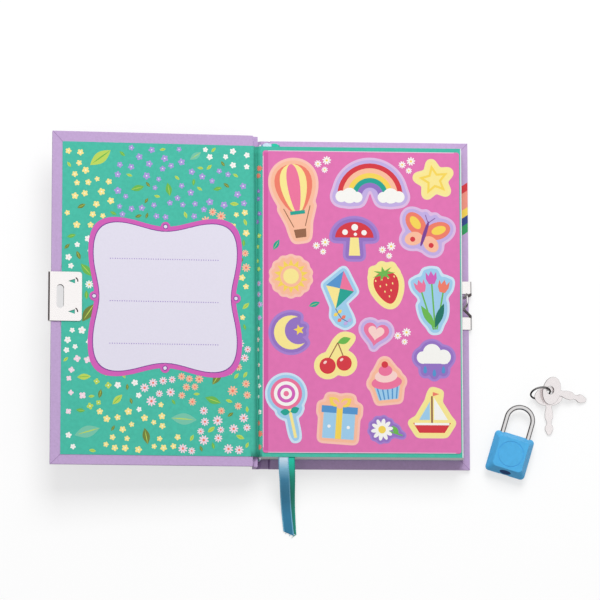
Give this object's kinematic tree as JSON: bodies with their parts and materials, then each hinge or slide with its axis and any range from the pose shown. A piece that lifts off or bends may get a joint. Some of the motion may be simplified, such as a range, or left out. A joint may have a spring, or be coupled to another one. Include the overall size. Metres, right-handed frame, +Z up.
{
  "type": "lockable diary",
  "caption": "Open hardback diary with a slotted metal clasp and loop, ribbon page markers, a sticker sheet, a small padlock and flat keys on a split ring.",
  "frame": {"origin": "centre of the back cover's outside, which lies on the table", "axes": "+X from the spine to the back cover's fore edge, +Y to the head of the pages, +Z up from the table"},
  "size_m": [0.307, 0.2247, 0.0294],
  "materials": {
    "cover_paper": "fine-grained covering paper",
    "board": "grey bookbinding board",
    "endpaper": "matt printed paper",
    "sticker_paper": "coated sticker paper",
    "pages": "uncoated paper",
    "band_cloth": "woven cloth",
    "clasp_metal": "bright nickel plate",
    "ribbon_blue": "satin",
    "ribbon_green": "satin",
    "lock_plastic": "smooth moulded",
    "lock_steel": "plated steel",
    "key_metal": "nickel plate",
    "ring_steel": "spring steel"
  },
  "bodies": {
    "book": {"back_wrap": "cover_paper", "spine_wrap": "cover_paper", "back_joint": "cover_paper", "front_joint": "cover_paper", "back_board": "board", "spine_board": "board", "back_pastedown": "endpaper", "back_flyleaf": "endpaper", "endpaper_hinge": "endpaper", "page_section_1": "pages", "page_section_2": "pages", "page_section_3": "pages", "page_section_4": "pages", "page_section_5": "pages", "spine_lining": "pages", "headband_top": "band_cloth", "headband_bottom": "band_cloth", "back_clasp": "clasp_metal", "ribbon_blue": "ribbon_blue", "ribbon_blue_tail": "ribbon_blue", "ribbon_green": "ribbon_green", "ribbon_green_tail": "ribbon_green", "lock_jacket_front": "lock_plastic", "lock_jacket_back": "lock_plastic", "lock_case": "lock_steel", "latch_spring": "lock_steel", "shackle_spring": "lock_steel", "ward_plate": "lock_steel", "key_ring": "ring_steel"},
    "front_cover": {"front_board": "board", "front_wrap": "cover_paper", "front_pastedown": "endpaper", "front_clasp": "clasp_metal"},
    "front_leaf": {"flyleaf": "endpaper", "sticker_sheet": "sticker_paper"},
    "shackle": {"shackle": "lock_steel"},
    "key_1": {"key_1": "key_metal"},
    "key_2": {"key_2": "key_metal"}
  },
  "joints": [
    {"name": "cover_hinge", "type": "hinge", "parent": "book", "child": "front_cover", "pos_m": [-0.0622, 0, 0.0198], "axis": [0, -1, 0], "range_deg": [-176, 0]},
    {"name": "leaf_turn", "type": "hinge", "parent": "book", "child": "front_leaf", "pos_m": [-0.0632, 0, 0.0197], "axis": [0, -1, 0], "range_deg": [0, 174.5]},
    {"name": "shackle_slide", "type": "slide", "parent": "book", "child": "shackle", "axis": [0.2874, 0.9578, 0], "range_m": [0, 0.006], "deforming": ["shackle_spring", "latch_spring"]},
    {"name": "key_1_swing", "type": "hinge", "parent": "book", "child": "key_1", "pos_m": [0.1024, -0.0486, 0.0064], "axis": [0.2702, -0.0624, 0.9608], "range_deg": [-25, 25]},
    {"name": "key_2_swing", "type": "hinge", "parent": "book", "child": "key_2", "pos_m": [0.10219, -0.0507, 0.0026], "axis": [0.0019, -0.1113, 0.9938], "range_deg": [-22, 30]}
  ]
}
